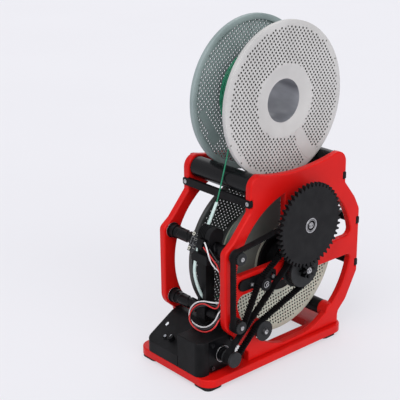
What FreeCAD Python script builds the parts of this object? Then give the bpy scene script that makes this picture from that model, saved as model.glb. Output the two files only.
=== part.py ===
import FreeCAD
import Part
import math
import os

# Filament spool winder. Millimetres: X runs across with the gears at +X, the front is -Y, Z is up.
# All numbers below are measured from the point on the floor under the middle of the upper spool. save() then
# moves each shape so that the origin lies on the floor in the middle of the whole outline.

os.makedirs("parts", exist_ok=True)
V = FreeCAD.Vector

outline_middle = V(9.05, -24.65, 0)

# Main sizes

feed_centre = (0.0, 333.0)
take_up_centre = (-5.0, 123.6)
spool_radius = 100.0
flange_inner = 26.4
flange_outer = 32.7
hub_recess_radius = 36.0
barrel_radius = 44.5
barrel_inner = 41.5
spool_bore = 27.6
filament_radius = 0.875

frame_inner = 52.5
frame_outer = 62.5
base_top = 15.3
base_bottom = 5.0
ring_radius = 105.0
crossbar_bottom = 110.4
crossbar_top = 137.7
hub_ring_radius = 18.0
rear_sleeve = (64.5, 36.0)
rim_rounding = 2.2

roller_radius = 13.5
roller_y = 70.5
roller_z = 243.67
shaft_radius = 4.0
running_bore = 4.05

gear_module = 2.2
pinion_teeth = 8
gear_teeth = 48
gear_centre = (take_up_centre[0], take_up_centre[1] + gear_module * (pinion_teeth + gear_teeth) / 2)

upper_screw = (-114.0, 168.0)
lower_screw = (-114.0, 77.0)
traverse_screw_radius = 7.75
motor_centre = (-126.5, 38.3)
idler_centre = (-74.5, 59.3)
arm_pivot = (-87.5, 124.0)
arm_idler_centre = (-72.5, 122.5)
arm_slot_distance = 36.1

belt_pitch = 3.0
belt_back = 1.24
belt_tooth = 1.17
belt_left = 66.5
belt_right = 75.5
pitch_line_offset = 0.38
motor_pulley_teeth = 18
drive_pulley_teeth = 52
gear_pulley_teeth = 13
traverse_pulley_teeth = 18

filament_plane = 11.0
guide_tube_radius = 2.0
guide_tube_bore = 1.0
wire_radius = 0.95

# Shapes used many times


def box(x0, x1, y0, y1, z0, z1):
    return Part.makeBox(x1 - x0, y1 - y0, z1 - z0, V(x0, y0, z0))


def rod(x0, x1, centre, radius):
    return Part.makeCylinder(radius, x1 - x0, V(x0, centre[0], centre[1]), V(1, 0, 0))


def ring(x0, x1, centre, outer, inner):
    return rod(x0, x1, centre, outer).cut(rod(x0 - 1, x1 + 1, centre, inner))


def rounded_wire(corners, place):
    starts = []
    middles = []
    ends = []
    count = len(corners)
    for i in range(count):
        u, v, radius = corners[i]
        before = corners[i - 1]
        after = corners[(i + 1) % count]
        corner = V(u, v, 0)
        back = V(before[0] - u, before[1] - v, 0)
        ahead = V(after[0] - u, after[1] - v, 0)
        if radius == 0:
            starts.append(corner)
            middles.append(None)
            ends.append(corner)
            continue
        half = back.getAngle(ahead) / 2
        reach = radius / math.tan(half)
        back.normalize()
        ahead.normalize()
        inward = back + ahead
        inward.normalize()
        starts.append(corner + back * reach)
        middles.append(corner + inward * (radius / math.sin(half) - radius))
        ends.append(corner + ahead * reach)
    edges = []
    for i in range(count):
        following = starts[(i + 1) % count]
        if middles[i] is not None:
            points = [place(p.x, p.y) for p in (starts[i], middles[i], ends[i])]
            edges.append(Part.Arc(points[0], points[1], points[2]).toShape())
        if (following - ends[i]).Length > 0.001:
            edges.append(Part.LineSegment(place(ends[i].x, ends[i].y), place(following.x, following.y)).toShape())
    return Part.Wire(edges)


def plate_x(corners, x0, x1):
    wire = rounded_wire(corners, lambda u, v: V(x0, u, v))
    return Part.Face(wire).extrude(V(x1 - x0, 0, 0))


def plate_z(corners, z0, z1):
    wire = rounded_wire(corners, lambda u, v: V(u, v, z0))
    return Part.Face(wire).extrude(V(0, 0, z1 - z0))


def rounded_box(x0, x1, y0, y1, z0, z1, radius):
    corners = [(x0, y0, radius), (x1, y0, radius), (x1, y1, radius), (x0, y1, radius)]
    return plate_z(corners, z0, z1)


def mirrored(shape):
    return shape.mirror(V(0, 0, 0), V(1, 0, 0))


def save(name, solids):
    shape = solids[0] if len(solids) == 1 else Part.makeCompound(solids)
    shape = shape.copy()
    shape.translate(outline_middle * -1)
    shape.exportStep("parts/" + name + ".step")


def cap_screw(head_top, direction, head_radius, head_height, shank_radius, shank_length):
    head = Part.makeCylinder(head_radius, head_height, head_top, direction)
    shank = Part.makeCylinder(shank_radius, shank_length, head_top + direction * (head_height - 0.2), direction)
    side = V(0, 0, 1) if abs(direction.z) < 0.5 else V(1, 0, 0)
    across = direction.cross(side)
    points = []
    for i in range(7):
        angle = math.radians(60 * i)
        reach = head_radius * 0.55
        points.append(head_top + side * (reach * math.cos(angle)) + across * (reach * math.sin(angle)))
    socket = Part.Face(Part.makePolygon(points)).extrude(direction * (head_height * 0.6))
    return head.fuse(shank).cut(socket)


def turn_radii(points):
    radii = []
    for i in range(1, len(points) - 1):
        before = points[i] - points[i - 1]
        after = points[i + 1] - points[i]
        shorter = min(before.Length, after.Length)
        radii.append(0.45 * shorter / math.tan(before.getAngle(after) / 2))
    return radii


def route_wire(points):
    radii = turn_radii(points)
    edges = []
    start = points[0]
    for i in range(1, len(points) - 1):
        back = points[i - 1] - points[i]
        ahead = points[i + 1] - points[i]
        reach = 0.45 * min(back.Length, ahead.Length)
        back.normalize()
        ahead.normalize()
        inward = back + ahead
        inward.normalize()
        half = back.getAngle(ahead) / 2
        radius = radii[i - 1]
        arc_start = points[i] + back * reach
        arc_end = points[i] + ahead * reach
        middle = points[i] + inward * (radius / math.sin(half) - radius)
        edges.append(Part.LineSegment(start, arc_start).toShape())
        edges.append(Part.Arc(arc_start, middle, arc_end).toShape())
        start = arc_end
    edges.append(Part.LineSegment(start, points[-1]).toShape())
    return Part.Wire(edges)


def round_tube(points, radius, name):
    path = route_wire(points)
    ahead = points[1] - points[0]
    section = Part.Wire([Part.Circle(points[0], ahead, radius).toShape()])
    tube = path.makePipeShell([section], True, False)
    if name:
        radii = turn_radii(points)
        expected = math.pi * radius ** 2 * path.Length
        smallest = min(radii) if radii else 0
        print(name, "length", round(path.Length, 1), "smallest radius", round(smallest, 1),
              "volume", round(tube.Volume, 1), "expected", round(expected, 1))
    return tube


def tooth_outline(centre, teeth, tip, root, tip_share, root_share, x0, x1, phase):
    points = []
    step = 2 * math.pi / teeth
    for i in range(teeth):
        middle = phase + i * step
        for radius, share in ((root, -root_share), (tip, -tip_share), (tip, tip_share), (root, root_share)):
            angle = middle + share * step / 2
            points.append(V(x0, centre[0] + radius * math.cos(angle), centre[1] + radius * math.sin(angle)))
    points.append(points[0])
    return Part.Face(Part.makePolygon(points)).extrude(V(x1 - x0, 0, 0))


def belt_pulley(centre, teeth, x0, x1):
    outer = teeth * belt_pitch / (2 * math.pi) - pitch_line_offset
    return tooth_outline(centre, teeth, outer, outer - 1.2, 0.42, 0.36, x0, x1, 0.0)


def involute_gear(centre, teeth, tip, root, width_at_pitch, x0, x1, phase):
    pitch = gear_module * teeth / 2
    base = pitch * math.cos(math.radians(20))
    pressure = math.tan(math.radians(20)) - math.radians(20)
    half_at_pitch = width_at_pitch / (2 * pitch)
    flank = []
    for share in (0.0, 0.3, 0.6, 0.8, 1.0):
        radius = max(base, root) + (tip - max(base, root)) * share
        turn = math.acos(min(1.0, base / radius))
        flank.append((radius, half_at_pitch + pressure - (math.tan(turn) - turn)))
    if root < base:
        flank.insert(0, (root, flank[0][1] * 0.8))
    points = []
    for i in range(teeth):
        middle = phase + 2 * math.pi * i / teeth
        for radius, half in flank:
            angle = middle - half
            points.append(V(x0, centre[0] + radius * math.cos(angle), centre[1] + radius * math.sin(angle)))
        for radius, half in reversed(flank):
            angle = middle + half
            points.append(V(x0, centre[0] + radius * math.cos(angle), centre[1] + radius * math.sin(angle)))
    points.append(points[0])
    return Part.Face(Part.makePolygon(points)).extrude(V(x1 - x0, 0, 0))


# Base plate, feet and side frames

base_outline = [(-69.3, -163.4, 17.6), (69.3, -163.4, 17.6), (69.3, 84.5, 17.6), (-69.3, 84.5, 17.6)]
base_plate = plate_z(base_outline, base_bottom, base_top)
base_plate = base_plate.makeFillet(1.5, [e for e in base_plate.Edges if e.BoundBox.ZMin > base_top - 0.01])
base_plate = base_plate.cut(rounded_box(-38, 38, -98, 49, base_bottom - 1, base_top + 1, 10))
for x in (-40, 2):
    for y in (-152, -116):
        base_plate = base_plate.fuse(Part.makeCylinder(2.5, 5.9, V(x, y, base_top)))
save("base_plate", [base_plate])

feet = []
for side in (-1, 1):
    x0, x1 = sorted((36 * side, 66 * side))
    feet.append(rounded_box(x0, x1, -160.4, -133, 0, base_bottom, 8))
    x0, x1 = sorted((49.5 * side, 66 * side))
    feet.append(rounded_box(x0, x1, 47, 73, 0, base_bottom, 7))
save("rubber_feet", feet)

frame_corners_front = [
    (-88, base_top, 0), (-88, 27.5, 3), (-108.8, 50.5, 10), (-109.6, 55.3, 4), (-128, 72.1, 22),
    (-128, 173.6, 9), (-114, 184, 15), (-86.5, 215.5, 2), (-86.5, 221, 0), (-82.7, 221, 0),
    (-82.7, 231, 0), (-86.5, 231, 0),
]
frame_corners_rear = [
    (84, 229.6, 0), (79, 229.6, 0), (79, 219.6, 0), (84, 219.6, 0), (84, 215.2, 3), (103.5, 190.8, 30),
    (113.5, 172, 12), (113.5, 160, 0), (108.5, 160, 0), (108.5, 149.5, 0), (113.5, 149.5, 0),
    (113.5, 99.2, 0), (108.5, 99.2, 0), (108.5, 88.7, 0), (113.5, 88.7, 0), (113.5, 82, 5),
    (93, 45, 20), (79.5, 32.2, 5), (78, 27, 3), (78, base_top, 0),
]


def frame_blank(x0, x1):
    low = plate_x(frame_corners_front + [(-86.5, 238, 0), (84, 238, 0)] + frame_corners_rear, x0, x1)
    top = [
        Part.LineSegment(V(x0, -86.5, 236), V(x0, -86.5, 243.7)).toShape(),
        Part.Arc(V(x0, -86.5, 243.7), V(x0, -81.8, 255.0), V(x0, -68.8, 259.6)).toShape(),
        Part.Arc(V(x0, -68.8, 259.6), V(x0, 0, 251.4), V(x0, 66, 259.3)).toShape(),
        Part.Arc(V(x0, 66, 259.3), V(x0, 79.3, 254.7), V(x0, 84, 243.4)).toShape(),
        Part.LineSegment(V(x0, 84, 243.4), V(x0, 84, 236)).toShape(),
        Part.LineSegment(V(x0, 84, 236), V(x0, -86.5, 236)).toShape(),
    ]
    high = Part.Face(Part.Wire(top)).extrude(V(x1 - x0, 0, 0))
    return low.fuse(high).removeSplitter()


def rounded_corners(opening, corners):
    for y, z, size in corners:
        for edge in opening.Edges:
            middle = edge.BoundBox.Center
            along = edge.BoundBox.XMax - edge.BoundBox.XMin > 1
            if along and math.hypot(middle.y - y, middle.z - z) < 0.5:
                opening = opening.makeFillet(size, [edge])
                break
        else:
            print("no corner at", y, z)
    return opening


def frame_opening(x0, x1, right):
    opening = rod(x0, x1, take_up_centre, ring_radius)
    opening = opening.cut(box(x0 - 1, x1 + 1, -130, 130, 10, 20.6))
    reach_low = math.sqrt(ring_radius ** 2 - (take_up_centre[1] - crossbar_bottom) ** 2)
    reach_high = math.sqrt(ring_radius ** 2 - (crossbar_top - take_up_centre[1]) ** 2)
    corners = [
        (take_up_centre[0] + reach_high, crossbar_top, 8), (take_up_centre[0] + reach_low, crossbar_bottom, 6),
    ]
    if right:
        opening = opening.cut(box(x0 - 1, x1 + 1, -130, 130, crossbar_bottom, crossbar_top))
        opening = opening.cut(box(x0 - 1, x1 + 1, -27, 17, crossbar_top - 1, 240))
        corners.append((take_up_centre[0] - reach_high, crossbar_top, 6))
        corners.append((take_up_centre[0] - reach_low, crossbar_bottom, 11))
    else:
        opening = opening.cut(box(x0 - 1, x1 + 1, take_up_centre[0], 130, crossbar_bottom, crossbar_top))
        opening = opening.cut(rod(x0 - 1, x1 + 1, take_up_centre, hub_ring_radius))
    opening = rounded_corners(opening, corners)
    for centre, radius in [(idler_centre, 11)] if right else []:
        away = V(0, centre[0] - take_up_centre[0], centre[1] - take_up_centre[1])
        away.normalize()
        across = V(0, -away.z, away.y)
        middle = V(x0 - 1, centre[0], centre[1])
        points = [middle + across * radius, middle + across * radius + away * 30,
                  middle - across * radius + away * 30, middle - across * radius]
        points.append(points[0])
        web = Part.Face(Part.makePolygon(points)).extrude(V(x1 - x0 + 2, 0, 0))
        opening = opening.cut(web.fuse(rod(x0 - 1, x1 + 1, centre, radius)))
    return opening


def rounded_rims(shape, size):
    rims = []
    for edge in shape.Edges:
        flat = edge.BoundBox.XMax - edge.BoundBox.XMin < 0.001
        if flat and edge.Length > 0.5:
            rims.append(edge)
    return shape.makeFillet(size, rims)


def side_frame(right):
    plate = frame_blank(frame_inner, frame_outer).cut(frame_opening(frame_inner - 1, frame_outer + 1, right))
    plate = rounded_rims(plate, rim_rounding)
    sleeve = rod(46.7, frame_outer - 0.2, rear_sleeve, 10.8)
    plate = plate.fuse(sleeve.makeFillet(1.2, [e for e in sleeve.Edges if e.BoundBox.XMin > frame_outer - 1]))
    for centre in (upper_screw, lower_screw):
        plate = plate.cut(rod(frame_inner - 1, frame_outer + 1, centre, 6.05))
    for y in (-roller_y, roller_y):
        plate = plate.cut(rod(frame_inner - 1, 58.2, (y, roller_z), running_bore))
    plate = plate.cut(rod(frame_inner - 1, 59.5, take_up_centre, 11.05))
    plate = plate.cut(rod(frame_inner - 1, frame_outer + 1, take_up_centre, 6))
    for y0, y1, z in ((-84, -74, 226), (70, 80, 224.6), (98, 109, 154.75), (98, 109, 93.95)):
        plate = plate.cut(Part.makeCylinder(1.6, y1 - y0, V(57.5, y0, z), V(0, 1, 0)))
    if right:
        plate = plate.cut(rod(frame_inner - 1, frame_outer + 1, gear_centre, running_bore))
        plate = plate.cut(rod(frame_inner - 1, frame_outer + 1, idler_centre, 3.05))
        for centre in (arm_pivot, (arm_pivot[0] + arm_slot_distance, arm_pivot[1])):
            plate = plate.cut(rod(56, frame_outer + 1, centre, 1.6))
        plate = plate.cut(box(52.4, 54.8, -130, -103.5, 15, 61.5))
        for z in (motor_centre[1] - 15.5, motor_centre[1] + 15.5):
            plate = plate.cut(rod(54, 56.8, (motor_centre[0] + 15.5, z), 3.2))
        return plate
    return mirrored(plate)


save("left_side_frame", [side_frame(False)])
save("right_side_frame", [side_frame(True)])

# Tie bars, rear spacer and the screws of the frame

front_bar = box(-62.5, 62.5, -87.4, -82.7, 221, 231)
rear_bars = [
    box(-62.5, 62.5, 79, 84, 219.6, 229.6),
    box(-62.5, 62.5, 108.5, 113.5, 149.5, 160),
    box(-62.5, 62.5, 108.5, 113.5, 88.7, 99.2),
]


def rounded_ends(bar, size):
    return bar.makeFillet(size, [e for e in bar.Edges if e.BoundBox.YMax - e.BoundBox.YMin > 4 and e.Length < 6])


front_bar = rounded_ends(front_bar, 3)
rear_bars = [rounded_ends(bar, 2) for bar in rear_bars]
screws = []
for x in (-57.5, 57.5):
    front_bar = front_bar.cut(Part.makeCylinder(2.8, 1.0, V(x, -87.4, 226), V(0, 1, 0)))
    front_bar = front_bar.cut(Part.makeCylinder(1.6, 6, V(x, -88, 226), V(0, 1, 0)))
    screws.append(cap_screw(V(x, -88, 226), V(0, 1, 0), 2.7, 1.6, 1.5, 10))
    for i, z in enumerate((224.6, 154.75, 93.95)):
        face = rear_bars[i].BoundBox.YMax
        rear_bars[i] = rear_bars[i].cut(Part.makeCylinder(2.8, 1.0, V(x, face, z), V(0, -1, 0)))
        rear_bars[i] = rear_bars[i].cut(Part.makeCylinder(1.6, 7, V(x, face + 1, z), V(0, -1, 0)))
        screws.append(cap_screw(V(x, face + 0.6, z), V(0, -1, 0), 2.7, 1.6, 1.5, 10))
save("front_tie_bar", [front_bar])
save("rear_tie_bars", rear_bars)
save("rear_spacer", [rod(-46.7, 46.7, rear_sleeve, 10.2)])

for distance in (0.0, arm_slot_distance):
    top = V(67.9, arm_pivot[0] + distance, arm_pivot[1])
    screws.append(cap_screw(top, V(-1, 0, 0), 2.7, 1.8, 1.5, 8.5))
save("frame_screws", screws)

# Controller case with its sloped panel, and what is on the panel

panel_front = (-163.4, 31.0)
panel_back = (-120.0, 57.1)
panel_slope = math.atan2(panel_back[1] - panel_front[1], panel_back[0] - panel_front[0])
panel_normal = V(0, -math.sin(panel_slope), math.cos(panel_slope))
panel_up = V(0, math.cos(panel_slope), math.sin(panel_slope))


def on_panel(x, y):
    return V(x, y, panel_front[1] + (y - panel_front[0]) * math.tan(panel_slope))


def panel_pin(x, y, low, high, radius):
    return Part.makeCylinder(radius, high - low, on_panel(x, y) + panel_normal * low, panel_normal)


case_outline = [
    (-163.4, base_top, 0), (-163.4, 31, 1.5), (-120, 57.1, 12), (-112, 60, 6), (-104, 60, 1.5), (-104, base_top, 0),
]
case_hollow = [
    (-161, base_top - 2, 0), (-161, 29.6, 0), (-119, 54.9, 10), (-111.6, 57.6, 4), (-106.4, 57.6, 0),
    (-106.4, base_top - 2, 0),
]
case = plate_x(case_outline, -50, 12.2)
case = case.common(plate_z([(-50, -163.4, 8), (12.2, -163.4, 0), (12.2, -104, 0), (-50, -104, 3)], 10, 70))
hollow = plate_x(case_hollow, -47.6, 9.8)
hollow = hollow.common(plate_z([(-47.6, -161, 6), (9.8, -161, 0), (9.8, -106.4, 0), (-47.6, -106.4, 0)], 10, 70))
case = case.cut(hollow)
button_place = (-25.5, -151.0)
knob_place = (-14.0, -150.0)
window_place = (-39.0, -137.0)
case = case.cut(panel_pin(button_place[0], button_place[1], -4, 1, 2.75))
case = case.cut(panel_pin(knob_place[0], knob_place[1], -4, 1, 1.9))
window = None
for shift in (-1.2, 1.2):
    place = on_panel(window_place[0], window_place[1]) + panel_up * shift
    window_hole = Part.makeCylinder(1.65, 6, place - panel_normal * 4, panel_normal)
    window_end = Part.makeCylinder(1.6, 3.0, place - panel_normal * 2.4, panel_normal)
    case = case.cut(window_hole)
    window = window_end if window is None else window.fuse(window_end)
slot_corner = on_panel(window_place[0], window_place[1]) - panel_up * 1.2
for half, low, high in ((1.65, -4.0, 2.0), (1.6, -2.4, 0.6)):
    points = [V(-half, 0, 0), V(half, 0, 0)]
    ring_points = [slot_corner + V(-half, 0, 0), slot_corner + V(half, 0, 0),
                   slot_corner + V(half, 0, 0) + panel_up * 2.4, slot_corner + V(-half, 0, 0) + panel_up * 2.4]
    ring_points.append(ring_points[0])
    face = Part.Face(Part.makePolygon(ring_points))
    face.translate(panel_normal * low)
    slab = face.extrude(panel_normal * (high - low))
    if half > 1.62:
        case = case.cut(slab)
    else:
        window = window.fuse(slab).removeSplitter()
save("controller_case", [case])
save("light_window", [window])
save("controller_board", [box(-44, 6, -156, -112, base_top + 5.9, base_top + 7.5)])

button = panel_pin(button_place[0], button_place[1], -4.5, 2.2, 2.5)
button = button.fuse(panel_pin(button_place[0], button_place[1], -4.5, -2.7, 3.6))
save("wind_button", [button])
knob = panel_pin(knob_place[0], knob_place[1], 0.5, 6.5, 4.5)
knob = knob.fuse(panel_pin(knob_place[0], knob_place[1], -6, 1, 1.6))
pointer_face = on_panel(knob_place[0], knob_place[1]) + panel_normal * 6.0
pointer = Part.makeBox(0.8, 3.4, 1.0, V(-0.4, 0.6, 0))
pointer.rotate(V(0, 0, 0), V(1, 0, 0), math.degrees(panel_slope))
pointer.translate(pointer_face)
save("speed_knob", [knob.cut(pointer)])

# Motor with its cover

cover_footprint = [(12.5, -163.4, 1), (54.5, -163.4, 10), (54.5, -104, 1), (12.5, -104, 1)]
cover = plate_z(cover_footprint, base_top, 61)
cover = cover.makeFillet(1.0, [e for e in cover.Edges if e.BoundBox.ZMin > 60.9])
cover = cover.cut(box(14.2, 60, -148, -105, base_top - 1, 59.8))
inner_footprint = [(14.2, -161.6, 1), (52.7, -161.6, 8), (52.7, -149.6, 1), (14.2, -149.6, 1)]
cover = cover.cut(plate_z(inner_footprint, base_top - 1, 59.2))
cover = cover.cut(box(25.5, 37.5, -126.5, -125.3, 60.3, 62))
save("motor_cover", [cover])

motor_y, motor_z = motor_centre
half_motor = 21.15
motor_body = plate_x([(motor_y - half_motor, motor_z - half_motor, 4), (motor_y + half_motor, motor_z - half_motor, 4),
                      (motor_y + half_motor, motor_z + half_motor, 4), (motor_y - half_motor, motor_z + half_motor, 4)],
                     14.5, 54.5)
motor_body = motor_body.cut(rod(50, 55, motor_centre, 2.9))
motor_screws = []
for dy in (-15.5, 15.5):
    for dz in (-15.5, 15.5):
        place = (motor_y + dy, motor_z + dz)
        motor_body = motor_body.cut(rod(49, 55, place, 1.6))
        motor_screws.append(cap_screw(V(56.3, place[0], place[1]), V(-1, 0, 0), 2.7, 1.8, 1.5, 5))
save("motor_body", [motor_body])
save("motor_screws", motor_screws)
save("motor_pilot_ring", [ring(54.5, 56.4, motor_centre, 11, 3.0)])

motor_shaft = rod(50.5, 76.2, motor_centre, 2.5)
save("motor_coupling", [motor_shaft.fuse(rod(56.8, 64.0, motor_centre, 8.5))])
motor_pulley = belt_pulley(motor_centre, motor_pulley_teeth, 66, 76.3)
motor_pulley = motor_pulley.fuse(rod(64.4, 66, motor_centre, 9.9)).fuse(rod(76.3, 79.5, motor_centre, 10.0))
save("motor_pulley", [motor_pulley.cut(rod(64, 76.2, motor_centre, 2.55))])

# Rollers under the upper spool

roller_axles = [rod(-58, 58, (y, roller_z), shaft_radius) for y in (-roller_y, roller_y)]
save("roller_axles", roller_axles)
for name, y in (("front_roller", -roller_y), ("rear_roller", roller_y)):
    roller = rod(-51.8, 51.8, (y, roller_z), roller_radius)
    roller = roller.makeFillet(0.8, [e for e in roller.Edges if abs(e.BoundBox.XMax - e.BoundBox.XMin) < 0.01])
    save(name, [roller.cut(rod(-53, 53, (y, roller_z), running_bore))])

# Spools: a bore tube, a barrel and two end webs, with a perforated flange outside each web


def spool_core(centre):
    core = ring(-29.4, 29.4, centre, 30, spool_bore)
    core = core.fuse(ring(-29.4, 29.4, centre, barrel_radius, barrel_inner))
    for x in (-29.4, flange_inner):
        core = core.fuse(ring(x, x + 3.0, centre, barrel_radius, spool_bore))
    return core


def spool_flange(centre, side):
    x0, x1 = sorted((flange_inner * side, flange_outer * side))
    flange = ring(x0, x1, centre, spool_radius, barrel_radius)
    x0, x1 = sorted((29.4 * side, flange_outer * side))
    return flange.fuse(ring(x0, x1, centre, barrel_radius + 1, hub_recess_radius))


def half_turn_arcs(start, end, start_way, end_way):
    chord = end - start
    ways = start_way + end_way
    a = 2 * (1 - start_way.dot(end_way))
    b = 2 * chord.dot(ways)
    c = -chord.dot(chord)
    reach = (-b + math.sqrt(b * b - 4 * a * c)) / (2 * a)
    first = start + start_way * reach
    second = end - end_way * reach
    joint = (first + second) * 0.5
    arcs = []
    for begin, corner, finish in ((start, first, joint), (joint, second, end)):
        foot = (begin + finish) * 0.5
        half_chord = (finish - begin).Length / 2
        height = (corner - foot).Length
        radius = reach * half_chord / height
        sag = radius * (1 - half_chord / reach)
        middle = foot + (corner - foot) * (sag / height)
        arcs.append((begin, middle, finish))
    return arcs


def winding(centre, radius, turns, pitch, name):
    def place(angle):
        x = pitch * angle / (2 * math.pi) - turns * pitch / 2
        return V(x, centre[0] + radius * math.cos(angle), centre[1] + radius * math.sin(angle))

    def way(angle):
        direction = V(pitch / (2 * math.pi), -radius * math.sin(angle), radius * math.cos(angle))
        direction.normalize()
        return direction

    edges = []
    samples = []
    last = 2 * math.pi * turns
    edges.append(Part.LineSegment(place(0) - way(0) * filament_radius * 2, place(0)).toShape())
    for i in range(turns * 2):
        a0 = math.pi * i
        a1 = math.pi * (i + 1)
        for begin, middle, finish in half_turn_arcs(place(a0), place(a1), way(a0), way(a1)):
            edges.append(Part.Arc(begin, middle, finish).toShape())
    edges.append(Part.LineSegment(place(last), place(last) + way(last) * filament_radius * 2).toShape())
    path = Part.Wire(edges)
    for edge in edges[1:25]:
        samples.append(edge.discretize(17))
    gap = pitch
    for i in range(4, len(samples)):
        for p in samples[i]:
            for q in samples[i - 4]:
                gap = min(gap, (p - q).Length)
    begin = place(0) - way(0) * filament_radius * 2
    section = Part.Wire([Part.Circle(begin, way(0), filament_radius).toShape()])
    tube = path.makePipeShell([section], True, False)
    print(name, "length", round(path.Length), "gap", round(gap - 2 * filament_radius, 2), "volume",
          round(tube.Volume), "expected", round(math.pi * filament_radius ** 2 * path.Length))
    return tube


feed_layer = 56.35
take_up_layer = 45.6
save("feed_spool_core", [spool_core(feed_centre)])
save("feed_spool_flanges", [spool_flange(feed_centre, side) for side in (-1, 1)])
save("feed_winding_core", [ring(-26.3, 26.3, feed_centre, feed_layer - 0.95, barrel_radius + 0.05)])
save("feed_winding", [winding(feed_centre, feed_layer, 22, 2.29, "feed_winding")])
save("take_up_core", [spool_core(take_up_centre)])
save("take_up_flanges", [spool_flange(take_up_centre, side) for side in (-1, 1)])
save("take_up_winding", [winding(take_up_centre, take_up_layer, 22, 2.29, "take_up_winding")])

# Take-up axle with its hubs, bearings, pulley and pinion

end_screw = cap_screw(V(86.6, take_up_centre[0], take_up_centre[1]), V(-1, 0, 0), 3.0, 1.6, 2.4, 0.2)
save("take_up_axle", [rod(-62, 85, take_up_centre, shaft_radius), end_screw])
hubs = []
for side in (-1, 1):
    x0, x1 = sorted((20 * side, 29.6 * side))
    plug = rod(x0, x1, take_up_centre, 27.4)
    x0, x1 = sorted((29.6 * side, 48 * side))
    hub = plug.fuse(rod(x0, x1, take_up_centre, 29.6))
    x0, x1 = sorted((33.0 * side, 36.0 * side))
    hub = hub.fuse(rod(x0, x1, take_up_centre, 41.5))
    hubs.append(hub.cut(rod(-60, 60, take_up_centre, running_bore)))
save("clamp_hubs", hubs)
save("axle_bearings", [ring(-59.5, -52.5, take_up_centre, 11, running_bore),
                       ring(52.5, 59.5, take_up_centre, 11, running_bore)])

drive_pulley = belt_pulley(take_up_centre, drive_pulley_teeth, 66, 77.5)
drive_pulley = drive_pulley.fuse(rod(64.8, 66, take_up_centre, 27.5)).fuse(rod(76.0, 77.5, take_up_centre, 24.45))
save("drive_pulley", [drive_pulley.cut(rod(60, 80, take_up_centre, running_bore))])

pinion_tip = gear_module * (pinion_teeth / 2 + 1)
pinion = involute_gear(take_up_centre, pinion_teeth, pinion_tip, 6.1, 3.0, 78, 85, math.pi / 2)
save("drive_pinion", [pinion.cut(rod(70, 90, take_up_centre, running_bore))])

# Big gear with the small belt pulley behind it, on a fixed stub axle

gear_tip = gear_module * (gear_teeth / 2 + 1)
gear_phase = -math.pi / 2 + math.pi / gear_teeth
big_gear = involute_gear(gear_centre, gear_teeth, gear_tip, gear_tip - 4.95, 3.1, 80, 86, gear_phase)
save("big_gear", [big_gear.cut(rod(70, 90, gear_centre, 9.85))])
gear_bearing = ring(80, 86.3, gear_centre, 9.8, 6.6).fuse(ring(80, 85.2, gear_centre, 7.0, 4.3))
save("gear_bearing", [gear_bearing])
gear_pulley = belt_pulley(gear_centre, gear_pulley_teeth, 65.5, 76).fuse(rod(76, 79.9, gear_centre, 9.4))
save("gear_pulley", [gear_pulley.cut(rod(60, 90, gear_centre, running_bore))])

gear_stub = rod(53, 86, gear_centre, shaft_radius)
gear_stub = gear_stub.fuse(cap_screw(V(87.4, gear_centre[0], gear_centre[1]), V(-1, 0, 0), 2.8, 2.2, 1.5, 1))
idler_stub = rod(54, 77.5, idler_centre, 3.0)
idler_stub = idler_stub.fuse(cap_screw(V(80.2, idler_centre[0], idler_centre[1]), V(-1, 0, 0), 4.4, 2.9, 1.5, 1))
save("stub_axles", [gear_stub, idler_stub])
idler = rod(64.8, 75.8, idler_centre, 10.8).fuse(rod(75.8, 77.0, idler_centre, 13.2))
save("drive_idler", [idler.cut(rod(60, 80, idler_centre, running_bore - 1))])

# Traverse screws with their flanged bushes, pulleys and pulley screws

bushes = []
for name, centre, right_flange in (("upper", upper_screw, 10), ("lower", lower_screw, 9)):
    screw = rod(-43, 43, centre, traverse_screw_radius).fuse(rod(-61, 76.4, centre, shaft_radius))
    save(name + "_traverse_screw", [screw])
    pulley = belt_pulley(centre, traverse_pulley_teeth, 66, 76).fuse(rod(64.5, 66, centre, 9.4))
    pulley = pulley.fuse(rod(75.9, 77, centre, 7.8)).cut(rod(60, 76.45, centre, running_bore))
    save(name + "_traverse_pulley", [pulley.cut(rod(76, 78, centre, 1.6))])
    save(name + "_pulley_screw", [cap_screw(V(78.6, centre[0], centre[1]), V(-1, 0, 0), 2.7, 1.6, 1.5, 0.7)])
    for side, flange in ((-1, 10), (1, right_flange)):
        x0, x1 = sorted((50.5 * side, 52.5 * side))
        bush = rod(x0, x1, centre, flange)
        x0, x1 = sorted((43.3 * side, 50.5 * side))
        bush = bush.fuse(rod(x0, x1, centre, 8.8))
        x0, x1 = sorted((52.5 * side, 62.5 * side))
        bush = bush.fuse(rod(x0, x1, centre, 6.0))
        bushes.append(bush.cut(rod(-65, 65, centre, running_bore)))
save("traverse_bushes", bushes)

# Tension arm with its idler, pressing on the back of the traverse belt

arm = plate_x([(-107, 117.75, 7.2), (-45, 117.75, 3), (-45, 132.25, 3), (-107, 132.25, 7.2)], 62.8, 65.8)
arm = arm.cut(rod(60, 70, arm_pivot, 1.6))
slot = ring(60, 70, arm_pivot, arm_slot_distance + 1.7, arm_slot_distance - 1.7)
sector = [V(60, arm_pivot[0], arm_pivot[1])]
slot_ends = []
for degrees in (-0.2, 6.2):
    angle = math.radians(degrees)
    reach = V(0, math.cos(angle), math.sin(angle))
    sector.append(sector[0] + reach * 50)
    slot_ends.append((arm_pivot[0] + arm_slot_distance * reach.y, arm_pivot[1] + arm_slot_distance * reach.z))
sector.append(sector[0])
arm = arm.cut(slot.common(Part.Face(Part.makePolygon(sector)).extrude(V(10, 0, 0))))
for end in slot_ends:
    arm = arm.cut(rod(60, 70, end, 1.7))
arm = arm.fuse(rod(65.8, 77.6, arm_idler_centre, 2.0)).fuse(rod(77.5, 78.8, arm_idler_centre, 3.2))
save("tension_arm", [arm])
arm_idler = rod(66.1, 75.8, arm_idler_centre, 7.0).fuse(rod(75.8, 77.2, arm_idler_centre, 8.4))
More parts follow.
